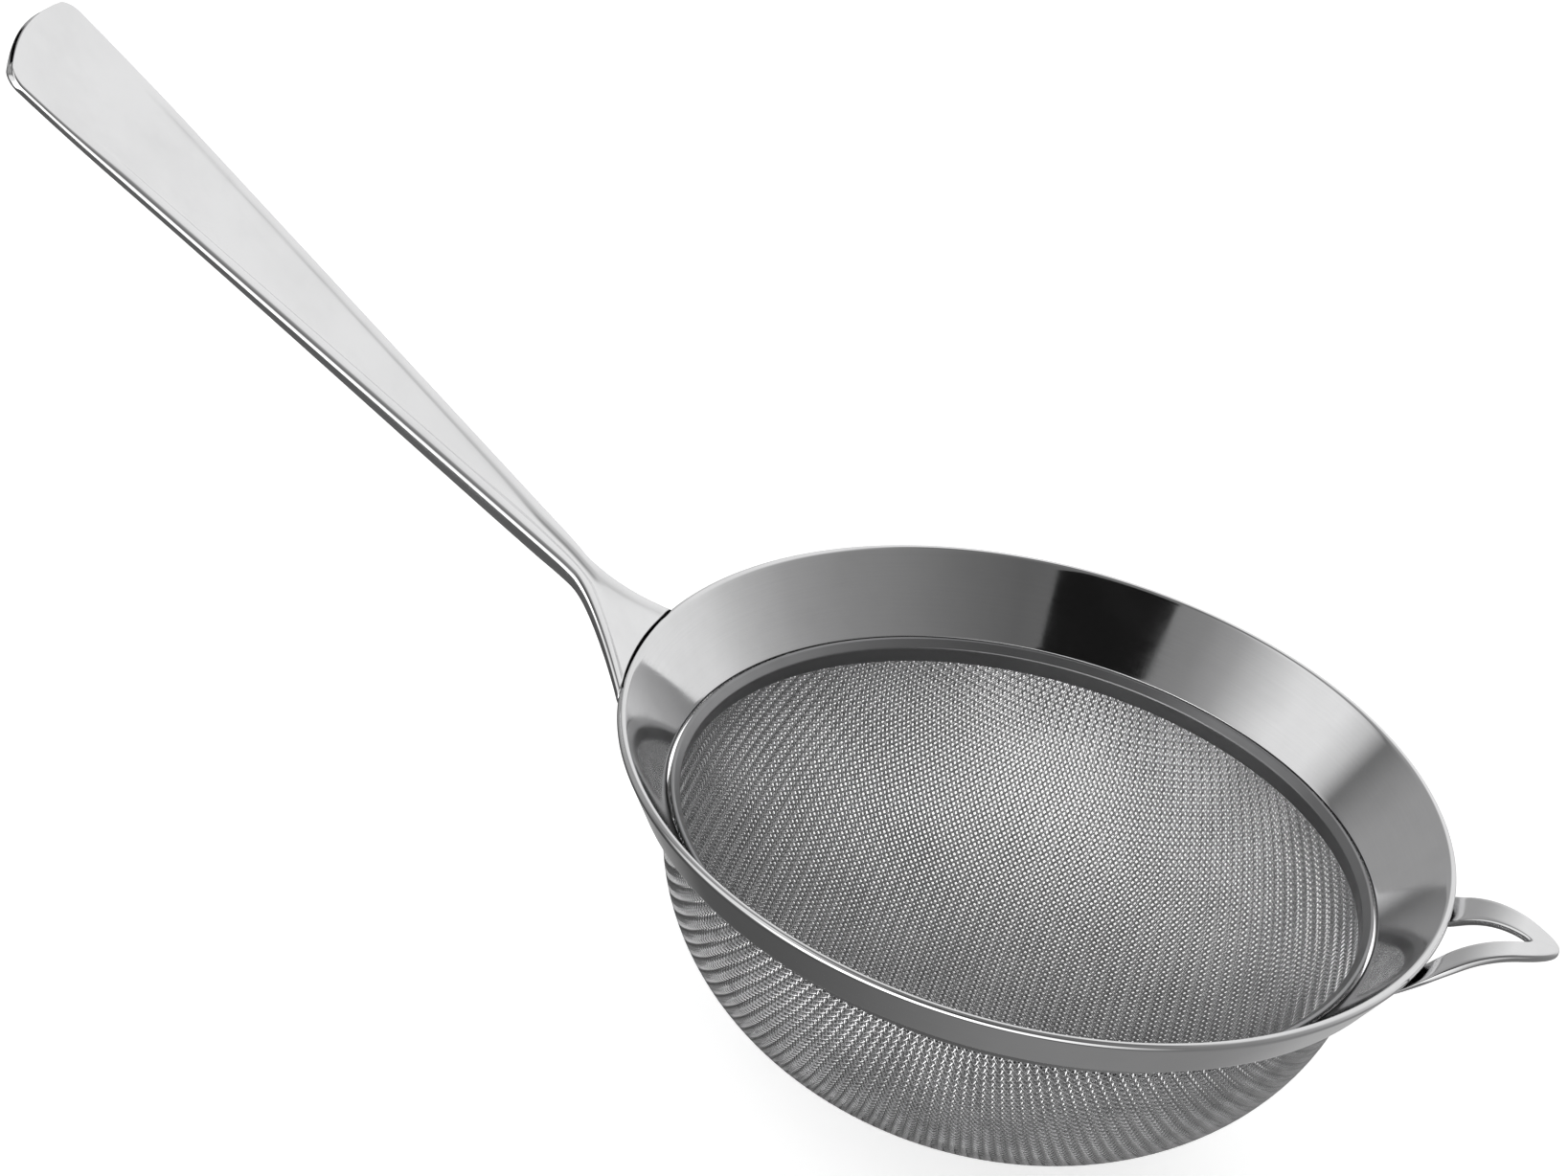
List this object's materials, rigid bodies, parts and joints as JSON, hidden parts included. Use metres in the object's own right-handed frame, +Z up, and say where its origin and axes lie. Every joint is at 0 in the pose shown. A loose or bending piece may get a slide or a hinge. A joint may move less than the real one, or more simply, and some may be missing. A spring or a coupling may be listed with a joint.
{
  "type": "tea strainer",
  "caption": "Stainless steel tea strainer: deep wire-cloth bowl in a flared funnel rim, with a raised tapering handle and a flat rest hook opposite.",
  "frame": {"origin": "centre of the rolled lip, on the bowl's axis, at the level of the lip's centre line, where the strainer sits on a cup", "axes": "+Z up along the bowl's axis, handle towards -X, rest hook towards +X, symmetric about the XZ plane"},
  "size_m": [0.1612, 0.08, 0.0744],
  "materials": {
    "rim_steel": "spun stainless steel, mirror polished",
    "ring_steel": "pressed stainless steel ring, polished",
    "wire_cloth": "plain-woven stainless steel wire cloth",
    "handle_steel": "forged stainless steel, satin to mirror polish",
    "hook_steel": "stamped stainless steel, polished"
  },
  "bodies": {
    "root": {"rim_flange": "rim_steel", "clamp_ring": "ring_steel", "mesh_bowl": "wire_cloth", "handle": "handle_steel", "rest_hook": "hook_steel"}
  },
  "joints": []
}
